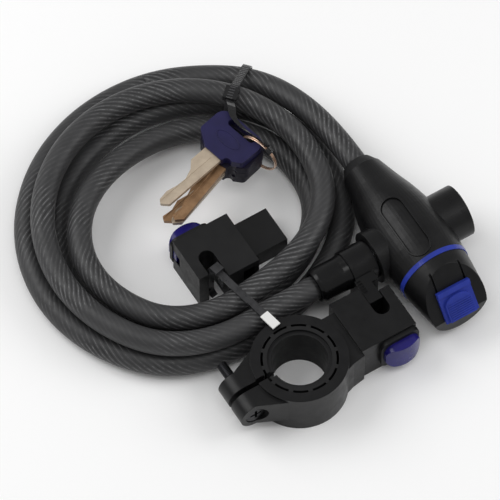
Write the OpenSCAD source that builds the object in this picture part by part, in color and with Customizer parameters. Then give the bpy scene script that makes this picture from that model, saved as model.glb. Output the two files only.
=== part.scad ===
// Bicycle cable lock: coiled covered cable, barrel lock head, tube clamp bracket,
// flat-plate bracket, two ties and four keys on a ring.
// Frame: the origin is the clamp bore's axis on the floor, +Z is up,
// +X is the axis of the lock's cross tube and -Y points to its keyhole.

/* [Cable] */
// Outer diameter of the vinyl-covered cable
cable_d = 12; // [11.6:0.1:12.1]
// Radius of the coil's outermost turn, at the start
coil_r = 87.5; // [86.5:0.5:89]
// Radial step of the spiral in one turn
coil_pitch = 14; // [13.5:0.25:14.25]
// Height between the coil's two layers
layer_rise = 12.6; // [12.6:0.1:13]
// How far the bundle is drawn in beside the clamp
coil_pinch = 10; // [9.5:0.25:10.5]

/* [Lock head] */
// Radius of the barrel at its widest
barrel_r = 19.4; // [18.5:0.1:19.8]
// Length of the barrel behind the cross tube's axis
barrel_rear = 42; // [40:0.5:44]
// Radius of the cross tube
socket_r = 13.2; // [12.6:0.1:13.8]
// Reach of the closed stub beyond the barrel's axis
stub_reach = 29; // [27:0.5:31]
// Diameter of the steel locking pin
pin_d = 12; // [11:0.25:12.5]
// Diameter of the lock cylinder's rotor
rotor_d = 12; // [11:0.25:12.5]
// Width of the blue ring
ring_w = 2.4; // [2:0.1:3]

/* [Tube clamp] */
// Diameter of the bicycle tube that the clamp holds
tube_d = 27.2; // [25.4:0.2:28.6]
// Outer radius of the clamp ring
clamp_r = 23.6; // [23.2:0.1:24.2]
// Height of the clamp ring
clamp_h = 26; // [24:0.5:26]
// Width of the split between the ears
split_w = 2.4; // [1.6:0.2:3]
// Thread diameter of the clamp screw
screw_d = 5; // [4:0.25:5.5]

/* [Release blocks] */
// Width of a release block
block_w = 30; // [29:0.25:30.5]
// Height of a release block
block_h = 25; // [24:0.5:25.5]
// Width of the slot that takes the tongue
slot_w = 8; // [7:0.25:8.5]
// Width of the push button
button_w = 19; // [17:0.5:19]
// Height of the push button
button_h = 15; // [14:0.5:15.5]
// Travel of the push button
button_travel = 3; // [2:0.25:3]
// Height of the second bracket's flat plate
plate_h = 11; // [9:0.5:12]

/* [Ties and keys] */
// Width of the tie straps
strap_w = 4.2; // [3.6:0.2:4.8]
// Thickness of the tie straps
strap_t = 0.85; // [0.7:0.05:0.95]
// Width of a key bow
bow_w = 28.8; // [27:0.2:29]
// Thickness of a key bow
bow_t = 4.4; // [4:0.1:4.5]
// Length of a key blade
blade_len = 37; // [33:0.5:37.5]
// Thickness of a key blade
blade_t = 2.1; // [1.8:0.1:2.4]

/* [Hidden] */

black = "#202024";
rubber = "#2c2c2e";
navy = "#2d2a66";
blue = "#2440c8";
steel = "#b9bcc0";
vinyl = "#4a4c50";

eps = 0.01;
fine = 64;

// ---- fits ----
running = 0.05;
loose = 0.3;
seat = 0.1;
join_gap = 0.03;

// ---- cable and coil ----
cable_r = cable_d / 2;
coil_centre = [0, 99];
floor_gap = 0.35 + strap_t;
low_z = cable_r + floor_gap;
high_z = low_z + layer_rise;
start_angle = -1.5;
lead_turn = 31.5 / 360;
end_turn = 272 / 360 + 3;
reversal_turn = 2.266;
half_climb = 0.25;
pinch_angle = 283;
pinch_spread = 65;
ramp_turns = 0.09;
ramp_drop = 6.3;
entry_draw = 1.5;
flat_angle = 102;
flat_spread = 95;
flat_draws = [4, 6, 9, 0];
high_in = 32.2;
entry_turns = 0.22;
loop_rings = 24;
coil_sides = 6;
lead_sides = 8;

// Spiral in along the floor, then out again on top of it, blended where the cable climbs
function climbed(turn) = let(u = turn - reversal_turn)
    u < -half_climb ? 0 : u > half_climb ? 1 : (1 + sin(90 * u / half_climb)) / 2;
function radius_in_plane(turn) = (coil_r - coil_pitch * turn) * (1 - climbed(turn))
    + (coil_r - high_in + coil_pitch * (turn - reversal_turn)) * climbed(turn);
function angle_gap(angle) = abs(((angle - pinch_angle + 540) % 360) - 180);
function pinch(angle) = angle_gap(angle) < pinch_spread ?
    coil_pinch * pow(cos(90 * angle_gap(angle) / pinch_spread), 2) : 0;
function coil_angle(turn) = start_angle + 360 * turn;
// The first turn starts nearer the centre, in line with the lock head
function entry(turn) = turn < entry_turns ? entry_draw * (1 + cos(180 * turn / entry_turns)) / 2 : 0;
// Each turn lies flatter opposite the lock head, by its own draw
function flat_gap(turn) = abs(((coil_angle(turn) - flat_angle + 540) % 360) - 180);
function flat(turn) = flat_gap(turn) < flat_spread ?
    flat_draws[floor(turn - (flat_angle - 180 - start_angle) / 360)]
        * pow(cos(90 * flat_gap(turn) / flat_spread), 2) : 0;
function coil_radius(turn) = radius_in_plane(turn) - pinch(coil_angle(turn)) - entry(turn) - flat(turn);
function layer_height(turn) = low_z + layer_rise * climbed(turn);
function ramp(turn) = let(s = (turn - lead_turn) / ramp_turns)
    s > 1 ? 0 : ramp_drop * (1 - sin(90 * s));
function coil_point(turn) = let(r = coil_radius(turn), angle = coil_angle(turn))
    [coil_centre.x + r * cos(angle), coil_centre.y + r * sin(angle), layer_height(turn) + ramp(turn)];

function unit(v) = v / norm(v);
coil_steps = round((end_turn - lead_turn) * loop_rings);
turn_points = [for (i = [0:coil_steps]) coil_point(lead_turn + (end_turn - lead_turn) * i / coil_steps)];
start_way = unit(coil_point(lead_turn + 0.001) - coil_point(lead_turn));
end_way = [1, 0, 0];
coil_start = turn_points[0] - cable_d * start_way;
coil_end = turn_points[coil_steps] + cable_d * end_way;
coil_path = concat([coil_start], turn_points, [coil_end]);

// Least distance between the surfaces of two turns of the coil
near_steps = 8;
self_gap = min([for (i = [0:2:coil_steps]) for (j = [i + near_steps:coil_steps])
    norm(turn_points[i] - turn_points[j])]) - cable_d;
echo(coil_self_gap_mm = self_gap);

// Direction of a path at one of its points
function way(path, i) = let(last = len(path) - 1)
    unit(path[min(i + 1, last)] - path[max(i - 1, 0)]);
function across(v) = unit(cross(v, [0, 0, 1]));
function ring_points(centre, v, r, sides) = let(side = across(v), up = cross(side, v))
    [for (k = [0:sides - 1]) centre + r * (cos(360 * k / sides) * side + sin(360 * k / sides) * up)];
function side_faces(rings, sides) = [for (i = [0:rings - 2]) for (k = [0:sides - 1]) for (half = [0, 1])
    let(a = i * sides + k, b = i * sides + (k + 1) % sides)
    half == 0 ? [a, b, b + sides] : [a, b + sides, a + sides]];
function end_faces(rings, sides) = let(last = (rings - 1) * sides)
    concat([for (k = [1:sides - 2]) [0, k + 1, k]], [for (k = [1:sides - 2]) [last, last + k, last + k + 1]]);

// One unbroken round tube along a path
module tube(path, r, sides, ways = []) {
    rings = len(path);
    points = [for (i = [0:rings - 1])
        each ring_points(path[i], len(ways) == 0 ? way(path, i) : ways[i], r, sides)];
    polyhedron(points, concat(side_faces(rings, sides), end_faces(rings, sides)));
}

// Compression spring along +Z from the origin
spring_sides = 6;
spring_rings = 10;
module spring(r, wire_r, length, coils) {
    steps = coils * spring_rings;
    climb = length - 2 * wire_r;
    path = [for (i = [0:steps])
        [r * cos(360 * i / spring_rings), r * sin(360 * i / spring_rings), wire_r + climb * i / steps]];
    tube(path, wire_r, spring_sides);
}

// Smooth curve through points chosen by hand
function blend_point(a, b, c, d, t) =
    0.5 * (2 * b + (c - a) * t + (2 * a - 5 * b + 4 * c - d) * t * t + (3 * b - a - 3 * c + d) * t * t * t);
function smooth(points, steps) = let(last = len(points) - 1)
    concat([for (i = [0:last - 1]) for (k = [0:steps - 1])
        blend_point(points[max(i - 1, 0)], points[i], points[i + 1], points[min(i + 2, last)], k / steps)],
        [points[last]]);

// ---- lock head ----
head = [81.4, 32, high_z];
ring_at = 21.6;
cap_at = ring_at + ring_w;
cap_end = 47;
// Distance along the barrel towards the keyhole, and the radius there
barrel_shape = [[-46, 10.5], [-34, 13.3], [-22.6, 16.3], [-11.3, 18.5], [0, 19.4],
    [11.3, 19.4], [22.6, 18.1], [29.4, 17.4], [45.2, 15.3], [47, 14.6]];
barrel_curve = [for (p = smooth(barrel_shape, 3))
    [p.x < 0 ? p.x * barrel_rear / 46 : p.x, p.y * barrel_r / 19.4]];
function barrel_part(from, to, grow) =
    [for (p = barrel_curve) if (p.x > from && p.x < to) [p.y + grow, p.x]];
function barrel_at(a) = lookup(a, barrel_curve);

// Along the barrel: local +Z is the way to the keyhole, local +Y is up
module on_barrel() { translate(head) rotate([90, 0, 0]) children(); }
// Along the cross tube: local +Z is +X
module on_socket() { translate(head) rotate([0, 90, 0]) children(); }
module barrel(from, to, grow = 0) {
    outline = concat([[0, from], [barrel_at(from) + grow, from]], barrel_part(from, to, grow),
        [[barrel_at(to) + grow, to], [0, to]]);
    rotate_extrude($fn = fine) polygon(outline);
}
module bar(r, from, to) { translate([0, 0, from]) cylinder(r = r, h = to - from, $fn = fine); }
module pipe(outer, inner, from, to) {
    difference() {
        bar(outer, from, to);
        bar(inner, from - 1, to + 1);
    }
}

pin_r = pin_d / 2;
liner_in = pin_r + running;
liner_out = liner_in + 2.9;
collar_end = -22;
liner_from = collar_end + 0.6;
liner_to = 12;
pin_tip = 6;
bolt_r = 3;
bolt_tip = pin_r + 0.3;
bolt_throw = 2.3;
groove_r = bolt_tip - bolt_throw - 0.3;
bolt_flange_at = 11.6;
bolt_flange_t = 1.2;
bolt_flange_r = 4.4;
bolt_end = bolt_flange_at + bolt_flange_t;
cam_at = 16.2;
cam_t = 1.6;
cam_reach = 6.2;
clip_at = cam_at + cam_t + 0.1;
clip_t = 0.8;
rotor_at = clip_at + clip_t + 0.1;
rotor_end = 35.5;
rotor_r = rotor_d / 2;
shell_r = rotor_r + 2.4;
tail_r = 2.6;
keyway = [1.3, 7.4];
wafer_count = 5;
wafer_gap = 3;
wafer = [3.2, 10.6, 0.8];

module head_body() {
    color(black) difference() {
        union() {
            on_barrel() barrel(-barrel_rear, ring_at);
            on_socket() bar(socket_r, collar_end, stub_reach);
        }
        on_socket() bar(liner_out + seat / 2, collar_end - 1, liner_to + seat);
        on_barrel() bar(bolt_r + running, 0, bolt_flange_at);
        on_barrel() bar(bolt_flange_r + seat, bolt_flange_at - bolt_throw - 0.2, rotor_at);
        on_barrel() bar(cam_reach + loose, cam_at - loose, rotor_at);
        on_barrel() bar(shell_r + seat / 2, rotor_at - clip_t, ring_at + 1);
        on_barrel() bar(cable_r + 1.2 + seat / 2, -barrel_rear - 1, -anchor_front);
        anchor_hole();
    }
}
module socket_liner() {
    color(steel) difference() {
        on_socket() pipe(liner_out, liner_in, liner_from, liner_to);
        on_barrel() bar(bolt_r + 0.3, 0, liner_out + 1);
    }
}
module head_ring() {
    color(blue) on_barrel() difference() {
        barrel(ring_at, cap_at, 0.35);
        bar(shell_r + seat / 2, ring_at - 1, cap_at + 1);
    }
}

// The front of the cap is sliced by a plane; the cover slides up along it
slope_at = [0, 1.5, 43];
slope_angle = 39.8;
module on_slope() { on_barrel() translate(slope_at) rotate([-slope_angle, 0, 0]) children(); }
cover_w = 18;
cover_low = -7.2;
cover_high = 9.3;
cover_t = 1.6;
rail_x = cover_w / 2 - 1.2;
rail_w = 0.8;
rail_depth = 1.2;
keyhole_r = rotor_r + 0.4;
module head_cap() {
    color(black) difference() {
        on_barrel() barrel(cap_at, cap_end);
        on_barrel() bar(shell_r + seat / 2, cap_at - 1, rotor_end + seat);
        on_barrel() bar(keyhole_r, rotor_end - 1, cap_end + 1);
        on_slope() translate([-30, -40, 0]) cube([60, 80, 30]);
        for (side = [-1, 1])
            on_slope() translate([side * rail_x - rail_w / 2 - seat, cover_low, -rail_depth - seat])
                cube([rail_w + 2 * seat, 40, 5]);
    }
}
band_h = 2.6;
band_t = 1;
pad_low = -6.9;
pad_high = 5.6;
pad_w = 14.5;
pad_t = 1.7;
arch_h = 4.5;
ridge_count = 8;
ridge_pitch = 1.1;
// Tongue of the cover: straight sides and an arched top
module cover_tongue() {
    translate([-pad_w / 2, pad_low]) square([pad_w, pad_high - arch_h - pad_low]);
    translate([0, pad_high - arch_h]) scale([pad_w / 2, arch_h]) circle(r = 1, $fn = fine);
}
module keyhole_cover() {
    color(blue) on_slope() translate([0, 0, seat]) {
        translate([-cover_w / 2, cover_low, 0]) cube([cover_w, cover_high - cover_low, cover_t]);
        translate([-cover_w / 2, cover_high - band_h, cover_t - eps]) cube([cover_w, band_h, band_t]);
        translate([0, 0, cover_t - eps]) linear_extrude(pad_t) cover_tongue();
        for (i = [0:ridge_count - 1])
            translate([-pad_w / 2 + 0.8, pad_low + 0.5 + ridge_pitch * i, cover_t + pad_t - 2 * eps])
                cube([pad_w - 1.6, ridge_pitch / 2, 0.35]);
        for (side = [-1, 1])
            translate([side * rail_x - rail_w / 2, cover_low + seat, -rail_depth])
                cube([rail_w, cover_high - cover_low - 6, rail_depth + eps]);
    }
}

// Oval badge panel on the barrel's upper left, a raised rim round a bare field
badge_len = 36;
badge_w = 13;
badge_rim = 0.9;
badge_turn = 13;
module badge_outline(shrink) {
    half = badge_w / 2 - shrink;
    run = badge_len / 2 - badge_w / 2;
    translate([-half, -run]) square([2 * half, 2 * run]);
    for (end = [-1, 1]) translate([0, end * run]) circle(r = half, $fn = fine);
}
module badge_plate() {
    color(black) on_barrel() rotate([0, 0, badge_turn]) intersection() {
        difference() {
            barrel(-18, ring_at - 0.2, 0.8);
            barrel(-19, ring_at + 1, 0.05);
        }
        translate([0, 40, 2.4]) rotate([90, 0, 0]) linear_extrude(40) difference() {
            badge_outline(0);
            badge_outline(badge_rim);
        }
    }
}

module cylinder_shell() {
    color(steel) on_barrel() pipe(shell_r, rotor_r + running, rotor_at, rotor_end - 0.1);
}
module cylinder_rotor() {
    color("#c9a85c") on_barrel() difference() {
        union() {
            bar(rotor_r, rotor_at, rotor_end);
            bar(tail_r, cam_at, rotor_at + eps);
        }
        translate([-keyway.x / 2, -keyway.y / 2, rotor_at + 2]) cube([keyway.x, keyway.y, rotor_end]);
        for (i = [0:wafer_count - 1]) wafer_space(i, seat / 2);
    }
}
module wafer_space(i, grow) {
    translate([-wafer.x / 2 - grow, -wafer.y / 2 - grow, rotor_at + 3 + i * wafer_gap - grow])
        cube([wafer.x + 2 * grow, wafer.y + 2 * grow, wafer.z + 2 * grow]);
}
module wafers() {
    color("#d8c078") on_barrel() difference() {
        for (i = [0:wafer_count - 1]) wafer_space(i, 0);
        translate([-keyway.x / 2, -keyway.y / 2, rotor_at]) cube([keyway.x, keyway.y, rotor_end]);
    }
}
module rotor_cam() {
    color(steel) on_barrel() difference() {
        union() {
            bar(4.2, cam_at, cam_at + cam_t);
            translate([0, -1.5, cam_at]) cube([cam_reach - 0.2, 3, cam_t]);
        }
        bar(tail_r + running, cam_at - 1, cam_at + cam_t + 1);
    }
}
module rotor_clip() {
    color(steel) on_barrel() difference() {
        bar(4.4, clip_at, clip_at + clip_t);
        bar(tail_r + running, clip_at - 1, clip_at + clip_t + 1);
        translate([-1.6, 0, clip_at - 1]) cube([3.2, 6, clip_t + 2]);
    }
}
module lock_bolt() {
    color(steel) on_barrel() union() {
        bar(bolt_r, bolt_tip, bolt_end);
        bar(bolt_flange_r, bolt_flange_at, bolt_end);
    }
}
module bolt_spring() {
    color(steel) on_barrel() translate([0, 0, bolt_end + seat])
        spring(2.6, 0.35, cam_at - bolt_end - 2 * seat, 3);
}

// Fixed end of the cable: a ferrule held by a cross pin, and a soft boot behind it
anchor_front = 22;
anchor_r = cable_r + 1.2;
anchor_pin_at = -30;
anchor_pin_r = 2;
boot_len = 5;
module anchor_hole() {
    on_barrel() translate([0, 0, anchor_pin_at]) rotate([0, 90, 0])
        cylinder(r = anchor_pin_r + running, h = 60, center = true, $fn = fine);
}
module cable_anchor() {
    color(steel) difference() {
        on_barrel() bar(anchor_r, -barrel_rear, -anchor_front - seat);
        anchor_hole();
    }
}
module anchor_pin() {
    color(steel) on_barrel() translate([0, 0, anchor_pin_at]) rotate([0, 90, 0])
        cylinder(r = anchor_pin_r, h = 24, center = true, $fn = fine);
}
module rear_boot() {
    color(rubber) on_barrel() rotate_extrude($fn = fine) polygon([[0, -barrel_rear],
        [barrel_at(-barrel_rear) - 0.2, -barrel_rear], [cable_r + 1.6, -barrel_rear - boot_len],
        [0, -barrel_rear - boot_len]]);
}

// ---- free stretches of the cable ----
lead_exit = head + [0, barrel_rear + boot_len, 0];
lead_points = [lead_exit, [81, 91, 19.8], [80.8, 102, 19.5], [80.9, 112, 18.8], [80.5, 121.5, 17.9]];
module cable_lead_head() {
    ends = concat(lead_points, [coil_start - join_gap * start_way]);
    path = smooth(ends, 2);
    last = len(path) - 1;
    ways = [for (i = [0:last]) i == 0 ? [0, 1, 0] : i == last ? start_way : way(path, i)];
    color(vinyl) tube(path, cable_r, lead_sides, ways);
}
sleeve_from = -53;
sleeve_to = -36;
module cable_lead_plug() {
    stop = [head.x + sleeve_from, head.y, head.z];
    middle = (coil_end + stop) / 2;
    color(vinyl) tube([coil_end, middle, stop], cable_r, lead_sides, [end_way, end_way, end_way]);
}

// ---- plug ----
sleeve_r = 8.7;
clip_r = 10;
clip_from = sleeve_to + 0.1;
clip_to = collar_end - 0.4;
module plug_sleeve() {
    color(black) on_socket() rotate_extrude($fn = fine) polygon([[0, sleeve_from],
        [sleeve_r - 1, sleeve_from], [sleeve_r, sleeve_from + 1.5], [sleeve_r, sleeve_to - 3],
        [clip_r - 0.8, sleeve_to], [0, sleeve_to]]);
}
module plug_pin() {
    color(steel) on_socket() difference() {
        union() {
            bar(pin_r, sleeve_to, pin_tip - 1);
            translate([0, 0, pin_tip - 1]) cylinder(r1 = pin_r, r2 = pin_r - 1, h = 1, $fn = fine);
        }
        difference() {
            bar(pin_r + 1, -bolt_r - 0.5, bolt_r + 0.5);
            bar(groove_r, -bolt_r - 1, bolt_r + 1);
        }
    }
}

// ---- release blocks: the same block serves both brackets ----
block_from = [27.5, -12];
block_y1 = 18;
leg_end = 12.5;
slot_mid = 48.2;
slot_end = 0;
button_x = 48;
button_z = 13.3;
button_back = 3;
button_front = 7.5;
latch_y = [10, 13.5];
latch_z = [8, 14];
latch_nose = 1.4;
latch_travel = 1.4;
spring_r = 2.4;
spring_wire = 0.4;
slot_x0 = slot_mid - slot_w / 2;
slot_x1 = slot_mid + slot_w / 2;

// A plate with rounded corners
module rounded(x, y, r) {
    translate([-x / 2 + r, -y / 2]) square([x - 2 * r, y]);
    translate([-x / 2, -y / 2 + r]) square([x, y - 2 * r]);
    for (sx = [-1, 1]) for (sy = [-1, 1])
        translate([sx * (x / 2 - r), sy * (y / 2 - r)]) circle(r = r, $fn = fine);
}
// Extrudes a shape drawn in X and Z along +Y, from y0 to y1
module along_y(x, z, y0, y1) {
    translate([x, y1, z]) rotate([90, 0, 0]) linear_extrude(y1 - y0) children();
}
module block_solid() {
    translate([block_from.x, block_from.y, 0]) cube([block_w, leg_end - block_from.y, block_h]);
    translate([block_from.x, block_from.y, 0])
        cube([slot_mid - block_from.x, block_y1 - block_from.y, block_h]);
}
module block_cuts() {
    // Slot for the tongue, open at the back
    translate([slot_mid, slot_end + slot_w / 2, -1]) cylinder(r = slot_w / 2, h = block_h + 2, $fn = fine);
    translate([slot_x0, slot_end + slot_w / 2, -1]) cube([slot_w, 30, block_h + 2]);
    // Pocket that lightens the back of the block
    translate([block_from.x + 2, 8, 3]) cube([6.5, 20, block_h - 7]);
    // Button well, its spring and the arm beside it
    along_y(button_x, button_z, block_from.y - 1, block_from.y + button_back + button_travel + seat)
        rounded(button_w + 0.2, button_h + 0.2, 5.1);
    along_y(button_x, button_z, block_from.y, -1) circle(r = 3.4, $fn = fine);
    translate([39.7, block_from.y + button_back, 8.7]) cube([3.6, 16, 4.6]);
    // Way of the latch
    translate([36.8, latch_y[0] - 0.2, latch_z[0] - 0.2])
        cube([slot_x0 - 36, latch_y[1] - latch_y[0] + 0.4, latch_z[1] - latch_z[0] + 0.4]);
}
module block_button() {
    dome = 14.4;
    color(navy) difference() {
        union() {
            intersection() {
                along_y(button_x, button_z, block_from.y - button_front, block_from.y + button_back)
                    rounded(button_w, button_h, 5);
                translate([button_x, block_from.y - button_front + dome, -1])
                    cylinder(r = dome, h = 30, $fn = fine);
            }
            translate([40, block_from.y + button_back - eps, 9]) cube([3, 13, 4]);
        }
        along_y(button_x, button_z, block_from.y + button_back - 1, block_from.y + button_back + 1)
            circle(r = 3.2, $fn = fine);
    }
}
module block_spring() {
    from = block_from.y + button_back - 1 + seat;
    color(steel) translate([button_x, from, button_z]) rotate([-90, 0, 0])
        spring(spring_r, spring_wire, -1 - from - seat, 4);
}
module block_latch() {
    color(steel) translate([38.5, latch_y[0], latch_z[0]])
        cube([slot_x0 + latch_nose - 38.5, latch_y[1] - latch_y[0], latch_z[1] - latch_z[0]]);
}
module block_frame() {
    color(black) difference() {
        along_y(button_x - 0.4, button_z, block_from.y - 2.2, block_from.y)
            rounded(button_w + 2, button_h + 5, 4);
        along_y(button_x, button_z, block_from.y - 4, block_from.y + 1)
            rounded(button_w + 0.2, button_h + 0.2, 5.1);
    }
}
// Second bracket: the block turned half a turn in plan
second_at = [39.6, 74.4, 0];
module second_place() { translate(second_at) rotate([0, 0, 180]) children(); }

// ---- plug clip: a ring on the plug's neck with the tongue ----
tongue_tip = 8.5;
tongue_z = [3, 24.5];
neck_front = 22.5;
neck_back = 27;
neck_x = 45.6;
neck_w = 9.9;
module plug_clip() {
    color(black) difference() {
        union() {
            on_socket() bar(clip_r, clip_from, clip_to);
            translate([slot_x0 + loose, tongue_tip, tongue_z[0]])
                cube([slot_w - 2 * loose, neck_front - tongue_tip, tongue_z[1] - tongue_z[0]]);
            translate([neck_x, block_y1 + loose, tongue_z[0]])
                cube([neck_w, neck_back - block_y1, tongue_z[1] - tongue_z[0]]);
        }
        on_socket() bar(pin_r + running, clip_from - 20, clip_to + 20);
        translate([slot_x0, tongue_tip - 1, latch_z[0] - 1])
            cube([latch_nose + 0.3, latch_y[1] - tongue_tip + 2, latch_z[1] - latch_z[0] + 2]);
        for (i = [0:4])
            translate([slot_x0 + 0.8, tongue_tip + 6 + 1.6 * i, tongue_z[1] - 0.6]) cube([2.4, 0.8, 2]);
    }
}

// ---- frame bracket ----
bore_r = tube_d / 2;
shim_t = 3.9;
shim_step = 1.6;
shim_gap = 1.1;
shim_out = bore_r + shim_t + shim_gap;
ear_x = -30.5;
ear_z = 16;
ear_r = 8.2;
ear_y = 10.5;
screw_r = screw_d / 2;
screw_head_r = 5.2;
screw_sink = 3.4;
screw_tip = 21;
nut_flat = 8;
nut_t = 4;
web = [[15, 14], [28, 14], [28, -13.5], [21.5, -14.5], [14, -17]];
ear_web = [[-12, -19], [-12, 19]];
shim_ribs = 12;
module clamp_body() {
    color(black) difference() {
        union() {
            cylinder(r = clamp_r, h = clamp_h, $fn = fine);
            along_y(ear_x, ear_z, -ear_y, ear_y) circle(r = ear_r, $fn = fine);
            translate([0, 0, ear_z - ear_r]) linear_extrude(2 * ear_r)
                polygon([[ear_x, -ear_y], ear_web[0], ear_web[1], [ear_x, ear_y]]);
            linear_extrude(block_h - 2) polygon(web);
            block_solid();
        }
        translate([0, 0, -1]) cylinder(r = shim_out + seat / 2, h = clamp_h + 2, $fn = fine);
        translate([ear_x - 15, -split_w / 2, -1]) cube([-ear_x + 15 - 10, split_w, clamp_h + 2]);
        along_y(ear_x, ear_z, -ear_y - 1, ear_y + 1) circle(r = screw_r + 0.2, $fn = fine);
        along_y(ear_x, ear_z, ear_web[0].y - 1, -ear_y + screw_sink) circle(r = screw_head_r + 0.3, $fn = fine);
        along_y(ear_x, ear_z, ear_y - nut_t, ear_y + 1) circle(d = (nut_flat + 0.2) / cos(30), $fn = 6);
        block_cuts();
    }
}
module clamp_shim() {
    rib_w = 2.2;
    color(rubber) difference() {
        union() {
            difference() {
                cylinder(r = bore_r + shim_t, h = clamp_h, $fn = fine);
                translate([0, 0, -1]) cylinder(r = bore_r, h = clamp_h + 2, $fn = fine);
                translate([0, 0, clamp_h - shim_step]) cylinder(r = bore_r + shim_t / 2, h = clamp_h, $fn = fine);
            }
            for (i = [0:shim_ribs - 1]) rotate(360 * (i + 0.5) / shim_ribs) intersection() {
                translate([bore_r + shim_t / 2, -rib_w / 2, 0]) cube([4, rib_w, clamp_h]);
                cylinder(r = shim_out, h = clamp_h, $fn = fine);
            }
        }
        translate([-30, -split_w / 2, -1]) cube([30, split_w, clamp_h + 2]);
    }
}
module clamp_screw() {
    cross_w = 1.3;
    cross_l = 6.2;
    color(black) difference() {
        union() {
            along_y(ear_x, ear_z, -ear_y + 0.3, -ear_y + screw_sink) circle(r = screw_head_r, $fn = fine);
            along_y(ear_x, ear_z, -ear_y + screw_sink - eps, screw_tip) circle(r = screw_r, $fn = fine);
        }
        along_y(ear_x, ear_z, -ear_y, -ear_y + 1.9) square([cross_w, cross_l], center = true);
        along_y(ear_x, ear_z, -ear_y, -ear_y + 1.9) square([cross_l, cross_w], center = true);
        // Thread, as plain rings
        for (i = [0:11]) translate([ear_x, ear_y + 1 + 0.8 * i, ear_z]) rotate([-90, 0, 0]) difference() {
            cylinder(r = screw_r + 1, h = 0.4, $fn = fine);
            translate([0, 0, -1]) cylinder(r = screw_r - 0.35, h = 3, $fn = fine);
        }
    }
}
module clamp_nut() {
    color(steel) difference() {
        along_y(ear_x, ear_z, ear_y - nut_t + 0.1, ear_y - 0.1) circle(d = nut_flat / cos(30), $fn = 6);
        along_y(ear_x, ear_z, 0, ear_y + 1) circle(r = screw_r + running, $fn = fine);
    }
}
module release_button() { block_button(); }
module release_spring() { block_spring(); }
module release_latch() { block_latch(); }
module button_frame() { block_frame(); }

// ---- second bracket ----
plate_x = [10.2, 34];
plate_y = [66, 86];
module base_body() {
    color(black) difference() {
        union() {
            second_place() block_solid();
            translate([plate_x[0], plate_y[0], 0])
                cube([plate_x[1] - plate_x[0], plate_y[1] - plate_y[0], plate_h]);
        }
        second_place() block_cuts();
    }
}
module base_button() { second_place() block_button(); }
module base_spring() { second_place() block_spring(); }
module base_latch() { second_place() block_latch(); }
module base_frame() { second_place() block_frame(); }

// ---- ties ----
strap_room = 0.35;
// A strap hulled round circles given as [distance, height], in a vertical plane
module strap_loop(circles, width) {
    rotate([90, 0, 0]) linear_extrude(width, center = true) difference() {
        hull() for (c = circles) translate([c.x, c.y]) circle(r = c.z + strap_t, $fn = 32);
        hull() for (c = circles) translate([c.x, c.y]) circle(r = c.z, $fn = 32);
    }
}
tie_angle = 41;
function tie_turn(n) = (tie_angle - start_angle) / 360 + n;
function tie_circle(n) = [coil_radius(tie_turn(n)), layer_height(tie_turn(n)) + ramp(tie_turn(n)),
    cable_r + strap_room];
eye_r = 2.3;
eye_hole = 1.3;
eye_w = 3.2;
lock_l = 7;
lock_w = 6.8;
lock_h = 3.2;
lock_in = 27.5;
tail_first = [[-3.5, -7.8, 7.2], [-6.1, -14, 7.6]];
tail_last = [[-4.6, 14.5, 1.1], [-2.7, 7.4, 2.6]];
bundle_top = high_z + cable_r + strap_room + strap_t;
lock_r = coil_r - lock_in;
module coil_tie() {
    color(black) {
        translate([coil_centre.x, coil_centre.y, 0]) rotate(tie_angle) {
            strap_loop([tie_circle(0), tie_circle(1), tie_circle(2), tie_circle(3)], strap_w);
            translate([lock_r, -lock_w / 2, bundle_top - eps]) cube([lock_l, lock_w, lock_h]);
        }
        tie_tail();
        translate(eye) rotate([0, stack_tilt, stack_turn]) rotate([-90 - eye_at, 0, ring_turn]) difference() {
            cylinder(r = eye_r, h = eye_w, center = true, $fn = fine);
            cylinder(r = eye_hole, h = eye_w + 2, center = true, $fn = fine);
        }
    }
}
// Plain end of the strap, from the tie's head down to the eye on the key ring
tail_half = strap_t / 2;
function tail_ring(p, side) = [p + side * strap_w / 2 + [0, 0, tail_half], p - side * strap_w / 2 + [0, 0, tail_half],
    p - side * strap_w / 2 - [0, 0, tail_half], p + side * strap_w / 2 - [0, 0, tail_half]];
module tie_tail() {
    lock_at = [coil_centre.x, coil_centre.y, 0] + (lock_r + 0.5) * [cos(tie_angle), sin(tie_angle), 0];
    head_end = lock_at + [0, 0, bundle_top + lock_h / 2];
    tail_end = eye + [0, 0, eye_r - 0.5];
    path = smooth([head_end, head_end + tail_first[0], head_end + tail_first[1],
        tail_end + tail_last[0], tail_end + tail_last[1], tail_end], 3);
    rings = len(path);
    first_side = [-sin(tie_angle), cos(tie_angle), 0];
    along_ring = stack_turn + 90 + ring_turn;
    last_side = [cos(along_ring), sin(along_ring), 0];
    points = [for (i = [0:rings - 1]) let(s = i / (rings - 1))
        each tail_ring(path[i], unit(first_side * (1 - s) - last_side * s))];
    polyhedron(points, concat(side_faces(rings, 4), end_faces(rings, 4)));
}
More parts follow.
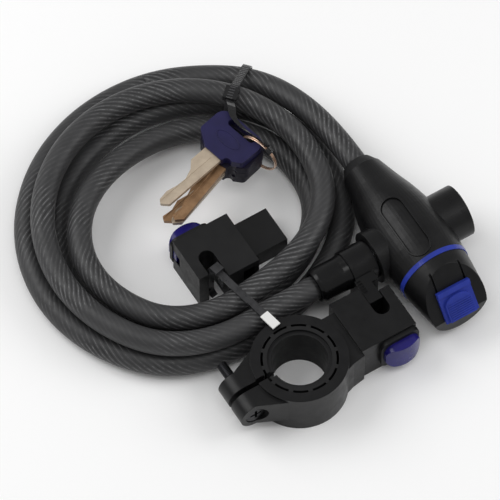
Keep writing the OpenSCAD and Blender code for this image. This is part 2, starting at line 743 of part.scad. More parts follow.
// Second strap: round the coil, through the second bracket, with its tail over the clamp ring
base_strap_w = 3.6;
base_tie_at = [second_at.x - slot_mid - 0.2, 62];
base_tie_way = -79;
base_tie_reach = 31.6;
foot_z = 3.2;
foot_r = 2.4 + strap_t;
corner_r = 3;
base_lock_l = 4.6;
base_lock_w = 5;
base_lock_h = 2;
tail_from = 24;
tip_from = 34;
tail_to = 43;
tip_w = 4.6;
tail_gap = 1;
function tail_height(s) = bundle_top + (clamp_h + tail_gap - bundle_top) * (s - tail_from) / (tail_to - tail_from);
module tie_end(from, to, width) {
    rotate([90, 0, 0]) linear_extrude(width, center = true)
        polygon([[from, tail_height(from) - eps], [to, tail_height(to) - eps],
            [to, tail_height(to) + strap_t], [from, tail_height(from) + strap_t]]);
}
module base_tie() {
    color(black) translate([base_tie_at.x, base_tie_at.y, 0]) rotate(base_tie_way) {
        strap_loop([[base_tie_reach, low_z, cable_r + strap_room], [0, foot_z, foot_r],
            [0, block_h - corner_r + 1, corner_r], [base_tie_reach, high_z, cable_r + strap_room]], base_strap_w);
        translate([-1.5, -base_lock_w / 2, block_h + 2 - eps]) cube([base_lock_l, base_lock_w, base_lock_h]);
        tie_end(tail_from, tip_from + 1, base_strap_w);
        tie_end(tip_from, tail_to, tip_w);
    }
}

// ---- keys ----
stack_in = 44.6;
stack_angle = 20.9;
stack_at = [coil_centre.x + (coil_r - stack_in) * cos(stack_angle),
    coil_centre.y + (coil_r - stack_in) * sin(stack_angle), 32.4];
stack_turn = 192;
stack_tilt = 0.5;
layer_gap = 0.3;
bow_l = 22;
neck_l = 4.6;
neck_half = 5.6;
near_r = 2.6;
far_r = 5.5;
key_turns = [1.4, 11, 9.5, 3.5];
ring_turn = 8;
ring_r = 10.5;
ring_wire = 0.8;
slot_at = [-7.4, 4];
slot_from = -11.1;
slot_to = 5.7;
slot_r = 1.9;
blade_y = 0;
blade_w = 10.4;
// Key n lies n layers down the stack and turns about the ring's wire
module key_place(n) {
    in_stack() translate([0, 0, -n * (bow_t + layer_gap)]) rotate(key_turns[n]) translate([-slot_at.x, -slot_at.y, 0]) children();
}
// Outline of a bow: wide behind, narrower towards the blade
module bow_outline() {
    hull() for (side = [-1, 1]) {
        translate([bow_l / 2 - 0.6, side * (neck_half - 0.6)]) circle(r = 0.6, $fn = fine);
        translate([bow_l / 2 - neck_l - near_r, side * (bow_w / 2 - near_r)]) circle(r = near_r, $fn = fine);
        translate([far_r - bow_l / 2, side * (bow_w / 2 - far_r)]) circle(r = far_r, $fn = fine);
    }
}
module key_bow(n) {
    color(navy) key_place(n) difference() {
        translate([0, 0, -bow_t / 2]) linear_extrude(bow_t) difference() {
            bow_outline();
            translate(slot_at) hull() for (y = [slot_from + slot_r, slot_to - slot_r])
                translate([0, y]) circle(r = slot_r, $fn = fine);
            translate([bow_l / 2 - 0.8, neck_half + 2.8]) circle(r = 2.4, $fn = fine);
        }
        blade_solid(n, seat / 2);
    }
}
blade_root = 4.6;
cut_from = 13.5;
cut_step = 5.5;
cut_depths = [[3.7, 5.7, 5.5, 4.2, 5], [3.2, 5, 4.2, 5.6, 4.6], [4.4, 3.6, 5.4, 4, 5.2], [3.6, 5.4, 4, 5.6, 4.8]];
// Outline of a blade: a straight back, a full-width root, the cuts and a bevelled tip
function blade_outline(n) = let(low = blade_y - blade_w / 2, high = blade_y + blade_w / 2,
        neck = bow_l / 2, tip = bow_l / 2 + blade_len)
    concat([[neck - blade_root, high], [neck - blade_root, low], [neck + cut_from - 4, low]],
        [for (i = [0:4]) if (neck + cut_from + cut_step * i < tip - 1)
            [neck + cut_from + cut_step * i, low + cut_depths[n][i]]],
        [[tip, low + 7], [tip - 2.8, high]]);
module blade_solid(n, grow) {
    translate([0, 0, -blade_t / 2 - grow]) linear_extrude(blade_t + 2 * grow) offset(delta = grow)
        polygon(blade_outline(n));
}
module key_blade(n) {
    color(n % 2 == 0 ? "#c8c0b0" : "#8a6a48") key_place(n) difference() {
        blade_solid(n, 0);
        for (side = [-1, 1]) translate([bow_l / 2 + 2, blade_y + 0.6, side * blade_t / 2 - 0.3])
            cube([blade_len, 1.4, 0.6]);
    }
}
ring_back = 7.8;
ring_low = 1.5 * (bow_t + layer_gap);
eye_at = 35;
module in_stack() { translate(stack_at) rotate([0, stack_tilt, stack_turn]) children(); }
function in_stack(p) = let(x = p.x * cos(stack_tilt) + p.z * sin(stack_tilt),
    z = p.z * cos(stack_tilt) - p.x * sin(stack_tilt))
    stack_at + [x * cos(stack_turn) - p.y * sin(stack_turn), x * sin(stack_turn) + p.y * cos(stack_turn), z];
eye_back = ring_back + ring_r * sin(eye_at);
eye = in_stack([-eye_back * sin(ring_turn), eye_back * cos(ring_turn), ring_r * cos(eye_at) - ring_low]);
module key_ring() {
    color("#c0906c") in_stack() rotate(ring_turn) translate([0, ring_back, -ring_low]) rotate([0, 90, 0])
        rotate_extrude($fn = fine) translate([ring_r, 0]) circle(r = ring_wire, $fn = 24);
}

module cable_coil() { color(vinyl) tube(coil_path, cable_r, coil_sides,
    concat([start_way, start_way], [for (i = [2:coil_steps]) way(coil_path, i)], [end_way, end_way])); }

cable_coil();
cable_lead_head();
cable_lead_plug();
plug_sleeve();
plug_pin();
plug_clip();
head_body();
socket_liner();
head_ring();
head_cap();
keyhole_cover();
badge_plate();
cylinder_shell();
cylinder_rotor();
wafers();
rotor_cam();
rotor_clip();
lock_bolt();
bolt_spring();
cable_anchor();
anchor_pin();
rear_boot();
clamp_body();
clamp_shim();
clamp_screw();
clamp_nut();
release_button();
release_spring();
release_latch();
button_frame();
base_body();
base_button();
base_spring();
base_latch();
base_frame();
coil_tie();
base_tie();
key_ring();
key_bow(0);  // key_bow_1
key_bow(1);  // key_bow_2
key_bow(2);  // key_bow_3
key_bow(3);  // key_bow_4
key_blade(0);  // key_blade_1
key_blade(1);  // key_blade_2
key_blade(2);  // key_blade_3
key_blade(3);  // key_blade_4
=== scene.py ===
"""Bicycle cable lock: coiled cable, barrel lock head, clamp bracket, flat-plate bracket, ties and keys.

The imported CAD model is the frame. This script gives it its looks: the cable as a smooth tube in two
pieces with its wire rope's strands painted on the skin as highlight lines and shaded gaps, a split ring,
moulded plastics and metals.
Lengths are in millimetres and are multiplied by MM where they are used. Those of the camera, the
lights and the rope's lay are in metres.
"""

import math

import bpy
from mathutils import Matrix, Vector


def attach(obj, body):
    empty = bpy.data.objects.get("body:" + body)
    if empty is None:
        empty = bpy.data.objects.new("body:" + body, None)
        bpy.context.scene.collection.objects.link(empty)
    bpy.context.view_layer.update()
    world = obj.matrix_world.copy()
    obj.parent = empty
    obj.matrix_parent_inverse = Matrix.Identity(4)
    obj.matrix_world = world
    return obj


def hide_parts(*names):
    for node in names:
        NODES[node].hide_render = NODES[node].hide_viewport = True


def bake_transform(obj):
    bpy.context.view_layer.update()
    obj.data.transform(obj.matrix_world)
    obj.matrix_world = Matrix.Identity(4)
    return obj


MM = 0.001
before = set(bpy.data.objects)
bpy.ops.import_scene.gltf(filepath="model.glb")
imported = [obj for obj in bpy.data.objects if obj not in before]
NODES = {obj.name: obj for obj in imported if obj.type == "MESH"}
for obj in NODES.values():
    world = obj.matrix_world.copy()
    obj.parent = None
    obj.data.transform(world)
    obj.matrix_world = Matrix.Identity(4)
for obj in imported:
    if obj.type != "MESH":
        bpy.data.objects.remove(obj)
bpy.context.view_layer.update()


# ---------------------------------------------------------------- camera
CAMERA_AZIMUTH = math.radians(31.5)
CAMERA_ELEVATION = math.radians(60)
CAMERA_DISTANCE = 3.0
CAMERA_TARGET = Vector((0.0157, 0.0706, 0.010))
CAMERA_LENS = 449.3


def make_camera():
    """The photograph's view: from above at 60 degrees, over the keyhole's side."""
    across_floor = Vector((math.sin(CAMERA_AZIMUTH), math.cos(CAMERA_AZIMUTH), 0))
    looks = across_floor * math.cos(CAMERA_ELEVATION) - Vector((0, 0, math.sin(CAMERA_ELEVATION)))
    data = bpy.data.cameras.new("photo_camera")
    data.lens = CAMERA_LENS
    data.sensor_width = 36
    data.clip_start = 0.05
    data.clip_end = 20
    camera = bpy.data.objects.new("photo_camera", data)
    bpy.context.scene.collection.objects.link(camera)
    camera.location = CAMERA_TARGET - looks * CAMERA_DISTANCE
    camera.rotation_euler = looks.to_track_quat("-Z", "Y").to_euler()
    bpy.context.scene.camera = camera


make_camera()


# ---------------------------------------------------------------- mesh helpers
def new_object(name, mesh):
    piece = bpy.data.objects.new(name, mesh)
    bpy.context.scene.collection.objects.link(piece)
    return piece


def mesh_from(name, points, faces, smooth=True):
    """A mesh object from points in millimetres."""
    mesh = bpy.data.meshes.new(name)
    mesh.from_pydata([Vector(p) * MM for p in points], [], faces)
    mesh.validate()
    for face in mesh.polygons:
        face.use_smooth = smooth
    return new_object(name, mesh)


def ring_frames(path, up=Vector((0, 0, 1))):
    """Direction, side and up at each point of a path that never runs along the way given as up."""
    frames = []
    last = len(path) - 1
    for i in range(len(path)):
        way = (path[min(i + 1, last)] - path[max(i - 1, 0)]).normalized()
        side = way.cross(up).normalized()
        frames.append((way, side, side.cross(way)))
    return frames


def tube_piece(name, path, frames, radius, sides, start_length=0.0):
    """A round tube with closed ends. Its UV map holds turns round the tube and metres along it."""
    points = []
    lengths = [start_length]
    for i in range(1, len(path)):
        lengths.append(lengths[-1] + (path[i] - path[i - 1]).length * MM)
    for centre, (way, side, up) in zip(path, frames):
        for k in range(sides):
            angle = 2 * math.pi * k / sides
            points.append(centre + radius * (math.cos(angle) * side + math.sin(angle) * up))
    faces = []
    around = []
    for i in range(len(path) - 1):
        for k in range(sides):
            a = i * sides + k
            b = i * sides + (k + 1) % sides
            faces.append((a, b, b + sides, a + sides))
            around.append((i, k))
    faces.append(tuple(range(sides - 1, -1, -1)))
    faces.append(tuple((len(path) - 1) * sides + k for k in range(sides)))
    piece = mesh_from(name, points, faces)
    for end in piece.data.polygons[-2:]:
        end.use_smooth = False
    skin = piece.data.uv_layers.new(name="skin")
    for face, (i, k) in zip(piece.data.polygons, around):
        corners = [(k, i), (k + 1, i), (k + 1, i + 1), (k, i + 1)]
        for loop, (turn, ring) in zip(face.loop_indices, corners):
            skin.data[loop].uv = (turn / sides, lengths[ring])
    return piece, lengths[-1]


# ---------------------------------------------------------------- the cable's route, as in the CAD source
CABLE_D = 12.0
CABLE_R = CABLE_D / 2
COIL_R = 87.5
COIL_PITCH = 14.0
LAYER_RISE = 12.6
COIL_PINCH = 10.0
COIL_CENTRE = Vector((0, 99, 0))
LOW_Z = 7.2
HIGH_Z = LOW_Z + LAYER_RISE
START_ANGLE = -1.5
LEAD_TURN = 31.5 / 360
END_TURN = 272 / 360 + 3
REVERSAL_TURN = 2.266
HALF_CLIMB = 0.25
PINCH_ANGLE = 283
PINCH_SPREAD = 65
RAMP_TURNS = 0.09
RAMP_DROP = 6.3
ENTRY_DRAW = 1.5
ENTRY_TURNS = 0.22
FLAT_ANGLE = 102
FLAT_SPREAD = 95
FLAT_DRAWS = (4, 6, 9, 0)
HIGH_IN = 32.2
HEAD = Vector((81.4, 32, HIGH_Z))
SLEEVE_END = HEAD + Vector((-53, 0, 0))
LEAD_EXIT = HEAD + Vector((0, 47, 0))
RINGS_PER_TURN = 220
CABLE_SIDES = 20
# Turns at which the lead joins the coil and at which the cable is cut in two pieces
JOIN_TURN = 0.135
SPLIT_TURN = 0.21
LEAD_REACH = 30
LEAD_STEPS = 40
TAIL_STEPS = 12


def cosd(angle):
    return math.cos(math.radians(angle))


def sind(angle):
    return math.sin(math.radians(angle))


def climbed(turn):
    """How far the cable has climbed from the lower layer (0) to the upper one (1)."""
    u = turn - REVERSAL_TURN
    if abs(u) > HALF_CLIMB:
        return 0.0 if u < 0 else 1.0
    return (1 + sind(90 * u / HALF_CLIMB)) / 2


def radius_in_plane(turn):
    """Inwards turn by turn in the lower layer and outwards again in the upper one."""
    inward = COIL_R - COIL_PITCH * turn
    outward = COIL_R - HIGH_IN + COIL_PITCH * (turn - REVERSAL_TURN)
    return inward * (1 - climbed(turn)) + outward * climbed(turn)


def pinch(angle):
    """How far all turns are drawn in round one angle of the coil."""
    gap = abs((angle - PINCH_ANGLE + 540) % 360 - 180)
    if gap >= PINCH_SPREAD:
        return 0.0
    return COIL_PINCH * cosd(90 * gap / PINCH_SPREAD) ** 2


def entry(turn):
    """How far the first turn is drawn in where it begins."""
    if turn >= ENTRY_TURNS:
        return 0.0
    return ENTRY_DRAW * (1 + cosd(180 * turn / ENTRY_TURNS)) / 2


def flat(turn):
    """Each turn lies flatter opposite the lock head, by its own draw."""
    gap = abs((START_ANGLE + 360 * turn - FLAT_ANGLE + 540) % 360 - 180)
    if gap >= FLAT_SPREAD:
        return 0.0
    draw = FLAT_DRAWS[math.floor(turn - (FLAT_ANGLE - 180 - START_ANGLE) / 360)]
    return draw * cosd(90 * gap / FLAT_SPREAD) ** 2


def coil_radius(turn):
    return radius_in_plane(turn) - pinch(START_ANGLE + 360 * turn) - entry(turn) - flat(turn)


def layer_height(turn):
    return LOW_Z + LAYER_RISE * climbed(turn)


def ramp(turn):
    """How far the cable still lies above its layer as it comes down from the lock head."""
    s = (turn - LEAD_TURN) / RAMP_TURNS
    return 0.0 if s > 1 else RAMP_DROP * (1 - sind(90 * s))


def coil_point(turn):
    angle = START_ANGLE + 360 * turn
    radius = coil_radius(turn)
    height = layer_height(turn) + ramp(turn)
    return COIL_CENTRE + Vector((radius * cosd(angle), radius * sind(angle), height))


def bezier(a, b, c, d, steps):
    """Points of a cubic Bezier curve, without the last one."""
    curve = []
    for i in range(steps):
        t = i / steps
        curve.append(a * (1 - t) ** 3 + 3 * b * t * (1 - t) ** 2 + 3 * c * t * t * (1 - t) + d * t ** 3)
    return curve


def cable_route():
    """The whole cable from the lock head to the plug, and the index where it is cut in two pieces."""
    join = coil_point(JOIN_TURN)
    join_way = (coil_point(JOIN_TURN + 0.001) - join).normalized()
    after_exit = LEAD_EXIT + Vector((0, LEAD_REACH, 0))
    lead = bezier(LEAD_EXIT, after_exit, join - LEAD_REACH * join_way, join, LEAD_STEPS)
    steps = round((END_TURN - JOIN_TURN) * RINGS_PER_TURN)
    turns = [JOIN_TURN + (END_TURN - JOIN_TURN) * i / steps for i in range(steps + 1)]
    coil = [coil_point(turn) for turn in turns]
    last = coil[-1]
    tail = [last.lerp(SLEEVE_END, i / TAIL_STEPS) for i in range(1, TAIL_STEPS + 1)]
    cut = len(lead) + next(i for i, turn in enumerate(turns) if turn > SPLIT_TURN)
    return lead + coil + tail, cut


def make_cable():
    """The cable in two pieces: the stretch next to the lock head, and the coil with the plug's lead."""
    route, cut = cable_route()
    frames = ring_frames(route)
    near_path = route[:cut + 1]
    wound_path = route[cut:]
    near, near_length = tube_piece("cable_near_head", near_path, frames[:cut + 1], CABLE_R, CABLE_SIDES)
    wound, _ = tube_piece("cable_wound", wound_path, frames[cut:], CABLE_R, CABLE_SIDES, near_length)
    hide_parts("cable_lead_head")
    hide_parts("cable_coil", "cable_lead_plug")
    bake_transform(near)
    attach(wound, "cable")
    return near, wound


cable_pieces = make_cable()


# ---------------------------------------------------------------- keys: the split ring and the top bow's oval
STACK_AT = Vector((40.077, 114.304, 32.4))
STACK_TURN = math.radians(192)
STACK_TILT = math.radians(0.5)
RING_TURN = math.radians(8)
RING_BACK = 7.8
RING_LOW = 7.05
RING_R = 10.5
RING_WIRE_R = 0.38
RING_GAP = 0.42
RING_FIRST_ANGLE = -140
RING_END = 670
RING_CROSSING = (312, 358)
KEY_TURN = math.radians(1.4)
SLOT_AT = Vector((-7.4, 4, 0))
BOW_T = 4.4
OVAL_AT = Vector((0.6, 0, 0))
OVAL_L = 3.1
OVAL_W = 7.2
OVAL_RIM_R = 0.28


def in_stack(point):
    tilted = Matrix.Rotation(STACK_TILT, 3, "Y") @ point
    return STACK_AT + Matrix.Rotation(STACK_TURN, 3, "Z") @ tilted


def make_split_ring():
    """A split ring of nearly two turns of wire that cross where both ends stop."""
    points = []
    for angle in range(0, RING_END + 1, 5):
        share = (angle - RING_CROSSING[0]) / (RING_CROSSING[1] - RING_CROSSING[0])
        share = min(max(share, 0), 1)
        across = RING_GAP * (2 * share * share * (3 - 2 * share) - 1)
        spoke = angle + RING_FIRST_ANGLE
        local = Vector((across, RING_BACK + RING_R * cosd(spoke), RING_R * sind(spoke) - RING_LOW))
        points.append(in_stack(Matrix.Rotation(RING_TURN, 3, "Z") @ local))
    axis = in_stack(Matrix.Rotation(RING_TURN, 3, "Z") @ Vector((1, 0, 0))) - STACK_AT
    ring, _ = tube_piece("split_ring", points, ring_frames(points, axis), RING_WIRE_R, 12)
    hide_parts("key_ring")
    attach(ring, "key_ring")
    return ring


def make_bow_oval():
    """The bare oval rim on the upper face of the top key's bow."""
    points = []
    for angle in range(0, 366, 6):
        local = OVAL_AT + Vector((OVAL_L * cosd(angle), OVAL_W * sind(angle), BOW_T / 2)) - SLOT_AT
        points.append(in_stack(Matrix.Rotation(KEY_TURN, 3, "Z") @ local))
    rim, _ = tube_piece("bow_oval", points, ring_frames(points), OVAL_RIM_R, 8)
    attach(rim, "key_1")
    return rim


split_ring = make_split_ring()
bow_oval = make_bow_oval()


# ---------------------------------------------------------------- materials
def linear(colour):
    """A hex sRGB colour as the linear values that shaders take."""
    values = [int(colour[i:i + 2], 16) / 255 for i in (1, 3, 5)]
    return [v / 12.92 if v <= 0.04045 else ((v + 0.055) / 1.055) ** 2.4 for v in values] + [1.0]


class Finish:
    """A material under construction: short calls for adding and joining shader nodes."""

    def __init__(self, name):
        self.material = bpy.data.materials.new(name)
        self.material.use_nodes = True
        self.tree = self.material.node_tree
        self.shader = self.tree.nodes["Principled BSDF"]
        self.place = self.tree.nodes.new("ShaderNodeTexCoord").outputs["Object"]

    def node(self, kind, **settings):
        made = self.tree.nodes.new(kind)
        for key, value in settings.items():
            setattr(made, key, value)
        return made

    def join(self, source, target):
        self.tree.links.new(source, target)

    def noise(self, scale, detail=3.0, roughness=0.5, distortion=0.0, place=None):
        made = self.node("ShaderNodeTexNoise")
        made.inputs["Scale"].default_value = scale
        made.inputs["Detail"].default_value = detail
        made.inputs["Roughness"].default_value = roughness
        made.inputs["Distortion"].default_value = distortion
        self.join(place or self.place, made.inputs["Vector"])
        return made.outputs["Fac"]

    def stretched(self, factors, turn=0.0):
        """Object coordinates scaled by different factors along each axis."""
        made = self.node("ShaderNodeMapping")
        made.inputs["Scale"].default_value = factors
        made.inputs["Rotation"].default_value = (0, 0, turn)
        self.join(self.place, made.inputs["Vector"])
        return made.outputs["Vector"]

    def mix(self, amount, low, high):
        """A colour between two colours."""
        made = self.node("ShaderNodeMix", data_type="RGBA")
        self.join(amount, made.inputs["Factor"])
        for socket, colour in ((made.inputs[6], low), (made.inputs[7], high)):
            if isinstance(colour, str):
                socket.default_value = linear(colour)
            elif isinstance(colour, (list, tuple)):
                socket.default_value = colour
            else:
                self.join(colour, socket)
        return made.outputs[2]

    def span(self, value, low, high, to_low, to_high, smooth=False):
        made = self.node("ShaderNodeMapRange")
        if smooth:
            made.interpolation_type = "SMOOTHSTEP"
        for key, number in (("From Min", low), ("From Max", high), ("To Min", to_low), ("To Max", to_high)):
            made.inputs[key].default_value = number
        self.join(value, made.inputs["Value"])
        return made.outputs["Result"]

    def calc(self, kind, first, second):
        """One math node on two values, each a number or an output."""
        made = self.node("ShaderNodeMath", operation=kind)
        for socket, value in ((made.inputs[0], first), (made.inputs[1], second)):
            if isinstance(value, (int, float)):
                socket.default_value = value
            else:
                self.join(value, socket)
        return made.outputs[0]

    def colour(self, output):
        self.join(output, self.shader.inputs["Base Color"])

    def roughness(self, output):
        self.join(output, self.shader.inputs["Roughness"])

    def bump(self, layers, edge=0.0):
        """Bump layers as (height output, depth in millimetres) over edges rounded by a radius."""
        normal = None
        if edge > 0:
            rounding = self.node("ShaderNodeBevel", samples=4)
            rounding.inputs["Radius"].default_value = edge * MM
            normal = rounding.outputs["Normal"]
        for height, depth in layers:
            made = self.node("ShaderNodeBump")
            made.inputs["Strength"].default_value = 1.0
            made.inputs["Distance"].default_value = depth * MM
            self.join(height, made.inputs["Height"])
            if normal is not None:
                self.join(normal, made.inputs["Normal"])
            normal = made.outputs["Normal"]
        self.join(normal, self.shader.inputs["Normal"])

    def set(self, **values):
        for key, value in values.items():
            self.shader.inputs[key.replace("_", " ")].default_value = value


def moulded_plastic(name, dark, light, rough, grain=0.012, grain_scale=2600, gloss_spread=0.08, edge=0.35):
    """Moulded plastic: faint flow clouds, handling gloss, rounded edges and a fine grain."""
    finish = Finish(name)
    clouds = finish.noise(70, detail=4, roughness=0.6)
    finish.colour(finish.mix(finish.span(clouds, 0.3, 0.7, 0, 1), dark, light))
    patches = finish.noise(190, detail=5, roughness=0.65)
    finish.roughness(finish.span(patches, 0.3, 0.7, rough - gloss_spread, rough + gloss_spread))
    waves = finish.noise(120, detail=2)
    grains = finish.noise(grain_scale, detail=2)
    finish.bump([(waves, 0.08), (grains, grain)], edge)
    finish.set(IOR=1.5, Specular_IOR_Level=0.27)
    return finish


def metal(name, dark, light, rough, stretch=(1, 1, 1), turn=0.0, scratch=0.006, pure=1.0):
    """Metal with brushed or turned marks and a slight tarnish."""
    finish = Finish(name)
    lines = finish.noise(900, detail=4, roughness=0.7, place=finish.stretched(stretch, turn))
    tarnish = finish.noise(150, detail=4, roughness=0.6)
    finish.colour(finish.mix(finish.span(tarnish, 0.3, 0.7, 0, 1), dark, light))
    finish.roughness(finish.span(lines, 0.25, 0.75, rough - 0.07, rough + 0.09))
    finish.bump([(tarnish, 0.03), (lines, scratch)], 0.2)
    finish.set(Metallic=pure)
    return finish


# The rope's strands, and the metres of cable in which each goes round it once
ROPE_STRANDS = 14
ROPE_LAY = 0.058


def cable_skin():
    """Smoked vinyl over a laid wire rope: its strands are painted on as thin oblique lines of painted
    highlight, with painted shade in the gaps between them, both fainter in random patches.
    """
    finish = Finish("smoked_vinyl_over_rope")
    uv = finish.node("ShaderNodeUVMap", uv_map="skin").outputs["UV"]
    parts = finish.node("ShaderNodeSeparateXYZ")
    finish.join(uv, parts.inputs[0])
    around, along = parts.outputs["X"], parts.outputs["Y"]
    wander = finish.span(finish.noise(70, detail=3), 0, 1, -0.5, 0.5)
    lay = finish.calc("MULTIPLY", along, ROPE_STRANDS / ROPE_LAY)
    phase = finish.calc("ADD", finish.calc("MULTIPLY", around, ROPE_STRANDS), lay)
    wave = finish.calc("SINE", finish.calc("MULTIPLY", finish.calc("ADD", phase, wander), 2 * math.pi), 0)
    breaks = finish.span(finish.noise(420, detail=3, roughness=0.7), 0.35, 0.65, 0, 1)
    # Random patches in which the painted highlights and the painted shade are fainter
    contrast_patches = finish.span(finish.noise(30, detail=3), 0.42, 0.64, 0.1, 1, smooth=True)
    # Painted highlight: thin light lines on the strands' crowns; painted shade: dark lines in the gaps
    # between strands
    crown = finish.span(wave, 0.6, 1, 0, 1, smooth=True)
    gap = finish.span(wave, -1, -0.5, 1, 0, smooth=True)
    glint = finish.calc("MULTIPLY", finish.calc("MULTIPLY", crown, breaks), contrast_patches)
    shade = finish.calc("MULTIPLY", gap, contrast_patches)
    smoked = finish.mix(finish.span(finish.noise(90, detail=3), 0.3, 0.7, 0, 1), "#303031", "#373738")
    finish.colour(finish.mix(glint, finish.mix(shade, smoked, "#1c1c1d"), "#727273"))
    finish.roughness(finish.span(finish.noise(260, detail=4), 0.3, 0.7, 0.42, 0.58))
    ripples = finish.noise(170, detail=3)
    finish.bump([(ripples, 0.08), (wave, 0.02), (finish.noise(1800, detail=2), 0.006)])
    finish.set(IOR=1.45)
    return finish


# The way that each tie's strap runs, from the coil's centre and from BASE_TIE_AT
# The base tie's strap is painted near white past BASE_TIE_TIP along it, where it is also above
# BASE_TIE_TIP_Z: a painted highlight of glare on its flat end
COIL_TIE_ANGLE = 41
TOOTH_PITCH = 1.5
LADDER_START = 60
LADDER_HALF_WIDTHS = (1.3, 1.6)
BASE_TIE_AT = Vector((-8.8, 62, 0))
BASE_TIE_WAY = -79
BASE_TIE_TIP = 34.0
BASE_TIE_TIP_Z = 26.2


def strap_coordinates(finish, origin, way):
    """Distance along a strap and across it, in millimetres."""
    turn = Matrix.Rotation(math.radians(-way), 3, "Z")
    made = finish.node("ShaderNodeMapping")
    made.inputs["Rotation"].default_value = (0, 0, math.radians(-way))
    made.inputs["Location"].default_value = -(turn @ origin)
    made.inputs["Scale"].default_value = (1000, 1000, 1000)
    finish.join(finish.place, made.inputs["Vector"])
    parts = finish.node("ShaderNodeSeparateXYZ")
    finish.join(made.outputs["Vector"], parts.inputs[0])
    return parts.outputs["X"], parts.outputs["Y"]


def toothed_nylon():
    """Glossy black nylon whose strap carries a ladder of small teeth between two rails, their crests painted
    lighter as a painted highlight.
    """
    finish = Finish("toothed_black_nylon")
    along, across = strap_coordinates(finish, COIL_CENTRE, COIL_TIE_ANGLE)
    teeth = finish.calc("SINE", finish.calc("MULTIPLY", along, 2 * math.pi / TOOTH_PITCH), 0)
    inside = finish.span(finish.calc("ABSOLUTE", across, 0), *LADDER_HALF_WIDTHS, 1, 0)
    beyond = finish.span(along, LADDER_START, LADDER_START + 1, 0, 1)
    strip = finish.calc("MULTIPLY", inside, beyond)
    ladder = finish.calc("MULTIPLY", strip, finish.span(teeth, -0.3, 0.5, 0, 1))
    # Painted highlight: the teeth's crests are painted lighter than the strap; the same mask also bumps the
    # teeth
    finish.colour(finish.mix(ladder, "#0c0c0e", "#404042"))
    finish.roughness(finish.span(finish.noise(500, detail=3), 0.3, 0.7, 0.16, 0.34))
    finish.bump([(finish.noise(300, detail=2), 0.05), (ladder, 0.45)], 0.2)
    finish.set(IOR=1.53)
    return finish


def worn_nylon():
    """Dark grey nylon whose strap's flat end is painted near white: a painted highlight of glare."""
    finish = Finish("grey_worn_nylon")
    along, _ = strap_coordinates(finish, BASE_TIE_AT, BASE_TIE_WAY)
    parts = finish.node("ShaderNodeSeparateXYZ")
    finish.join(finish.place, parts.inputs[0])
    raised = finish.span(parts.outputs["Z"], BASE_TIE_TIP_Z * MM, (BASE_TIE_TIP_Z + 0.1) * MM, 0, 1)
    # Painted highlight: the strap's flat end past the tip is painted near white as glare
    bare = finish.calc("MULTIPLY", raised, finish.span(along, BASE_TIE_TIP - 0.2, BASE_TIE_TIP + 0.2, 0, 1))
    worn = finish.mix(finish.span(finish.noise(200, detail=4), 0.35, 0.7, 0, 1), "#1c1c1e", "#2e2e30")
    finish.colour(finish.mix(bare, worn, "#e4e4e2"))
    finish.roughness(finish.span(finish.noise(400, detail=3), 0.3, 0.7, 0.24, 0.42))
    finish.bump([(finish.noise(260, detail=3), 0.06)], 0.2)
    finish.set(IOR=1.53)
    return finish


def build_materials():
    made = {
        "skin": cable_skin(),
        "black": moulded_plastic("black_satin_plastic", "#0b0b0c", "#131314", 0.34),
        "gloss": moulded_plastic("black_gloss_plastic", "#0a0a0b", "#101011", 0.22, grain=0.005),
        "matte": moulded_plastic("black_matte_plastic", "#0e0e0f", "#161617", 0.48, grain=0.02),
        "rubber": moulded_plastic("black_rubber", "#0f0f10", "#161617", 0.6, grain=0.03, grain_scale=1500),
        "blue": moulded_plastic("royal_blue_plastic", "#243284", "#2d3da2", 0.2, grain=0.004,
                                gloss_spread=0.05, edge=0.06),
        "button": moulded_plastic("navy_button_plastic", "#1b1759", "#25206f", 0.2, grain=0.004),
        "bow": moulded_plastic("navy_key_plastic", "#1b193a", "#23204a", 0.42, grain=0.01),
        # The lower keys' bows: the top bow's navy plastic made darker, painted shade under the top key
        "shaded_lower_bow": moulded_plastic("navy_key_plastic_painted_shade", "#0f0c1c", "#161227", 0.5, grain=0.01),
        "nylon": toothed_nylon(),
        "grey_nylon": worn_nylon(),
        "steel": metal("bright_steel", "#a8a9ab", "#c4c5c7", 0.28),
        "dark_steel": metal("black_oxide_steel", "#2a2a2c", "#3a3a3d", 0.34),
        "brass": metal("lock_brass", "#a98a48", "#c9a860", 0.3),
        "nickel": metal("key_nickel", "#b3a38f", "#cbbba6", 0.36, stretch=(1, 9, 1), turn=0.26, pure=0.45),
        "bronze": metal("key_bronze", "#7d5f42", "#a98562", 0.34, stretch=(1, 9, 1), turn=0.26, pure=0.45),
        "wire": metal("warm_ring_wire", "#d2ac90", "#f0d6c4", 0.17, scratch=0.002, pure=0.75),
    }
    return {key: finish.material for key, finish in made.items()}


MATERIALS = build_materials()

NODE_FINISH = {
    "skin": ["cable_coil", "cable_lead_head", "cable_lead_plug"],
    "gloss": ["plug_sleeve", "plug_clip"],
    "black": ["head_body", "head_cap", "badge_plate", "clamp_body"],
    "matte": ["base_body", "button_frame", "base_frame"],
    "rubber": ["clamp_shim", "rear_boot"],
    "blue": ["head_ring", "keyhole_cover"],
    "button": ["release_button", "base_button"],
    "bow": ["key_bow_1"],
    # Painted shade: the three lower keys' bows take the darker copy of the top bow's plastic
    "shaded_lower_bow": ["key_bow_2", "key_bow_3", "key_bow_4"],
    "nylon": ["coil_tie"],
    "grey_nylon": ["base_tie"],
    "steel": ["plug_pin", "socket_liner", "cylinder_shell", "rotor_cam", "rotor_clip", "lock_bolt",
              "bolt_spring", "cable_anchor", "anchor_pin", "clamp_nut", "release_spring", "release_latch",
              "base_spring", "base_latch"],
    "dark_steel": ["clamp_screw"],
    "brass": ["cylinder_rotor", "wafers"],
    "nickel": ["key_blade_1", "key_blade_3"],
    "bronze": ["key_blade_2", "key_blade_4"],
    "wire": ["key_ring"],
}


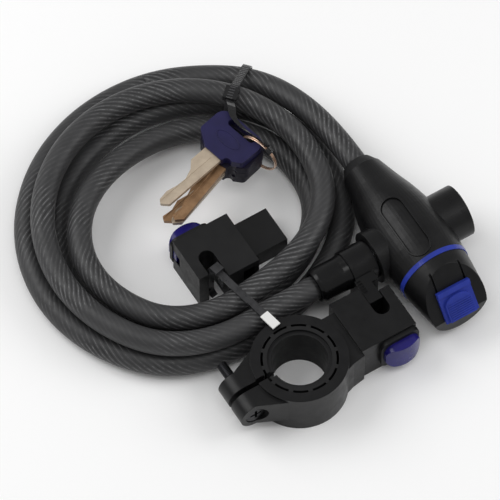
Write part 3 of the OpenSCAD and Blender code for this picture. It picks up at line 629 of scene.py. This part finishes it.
def dress(piece, material):
    """Gives an object one material, whatever slots it had."""
    slots = piece.data.materials
    if len(slots) == 0:
        slots.append(material)
    for i in range(len(slots)):
        slots[i] = material


def dress_nodes():
    for finish, names in NODE_FINISH.items():
        for name in names:
            if name in NODES:
                dress(NODES[name], MATERIALS[finish])


dress_nodes()
for piece in cable_pieces:
    dress(piece, MATERIALS["skin"])
dress(split_ring, MATERIALS["wire"])
dress(bow_oval, MATERIALS["bow"])


# ---------------------------------------------------------------- stage
FLOOR_HALF = 2500.0


def make_floor():
    """A pale flat floor that reaches far past the view."""
    corners = [(FLOOR_HALF * x, FLOOR_HALF * y, 0) for x, y in ((-1, -1), (1, -1), (1, 1), (-1, 1))]
    floor = mesh_from("studio_floor", corners, [(0, 1, 2, 3)], smooth=False)
    finish = Finish("pale_paper")
    clouds = finish.noise(3, detail=2)
    finish.colour(finish.mix(clouds, (0.985, 0.985, 0.985, 1), (1, 1, 1, 1)))
    finish.set(Roughness=0.9, Specular_IOR_Level=0.1)
    dress(floor, finish.material)


def make_softbox(name, place, aim, size, power):
    """A rectangular lamp at a place, turned to the point it aims at."""
    data = bpy.data.lights.new(name, "AREA")
    data.shape = "RECTANGLE"
    data.size, data.size_y = size
    data.energy = power
    lamp = bpy.data.objects.new(name, data)
    bpy.context.scene.collection.objects.link(lamp)
    lamp.location = place
    lamp.rotation_euler = (Vector(aim) - Vector(place)).to_track_quat("-Z", "Y").to_euler()


def towards(azimuth, elevation):
    """A direction by its angle in the photograph's plan (0 is right, 90 is away) and its height."""
    right = Vector((math.cos(CAMERA_AZIMUTH), -math.sin(CAMERA_AZIMUTH), 0))
    ahead = Vector((math.sin(CAMERA_AZIMUTH), math.cos(CAMERA_AZIMUTH), 0))
    level = right * cosd(azimuth) + ahead * sind(azimuth)
    return level * cosd(elevation) + Vector((0, 0, sind(elevation)))


def make_light():
    """An even pale room with softboxes on the left, on the right and above the camera."""
    world = bpy.data.worlds.new("studio")
    bpy.context.scene.world = world
    world.use_nodes = True
    sky = world.node_tree.nodes["Background"]
    sky.inputs["Color"].default_value = (1, 1, 1, 1)
    sky.inputs["Strength"].default_value = 0.45
    aim = Vector((0.02, 0.07, 0.01))
    make_softbox("left_light", aim + towards(165, 45) * 1.1, aim, size=(0.8, 0.8), power=5.2)
    make_softbox("right_light", aim + towards(5, 40) * 1.0, aim, size=(0.5, 0.6), power=2.5)
    make_softbox("front_light", aim + towards(270, 75) * 1.2, aim, size=(0.6, 0.4), power=1.9)


make_floor()
make_light()
bpy.context.scene.view_settings.view_transform = "Standard"
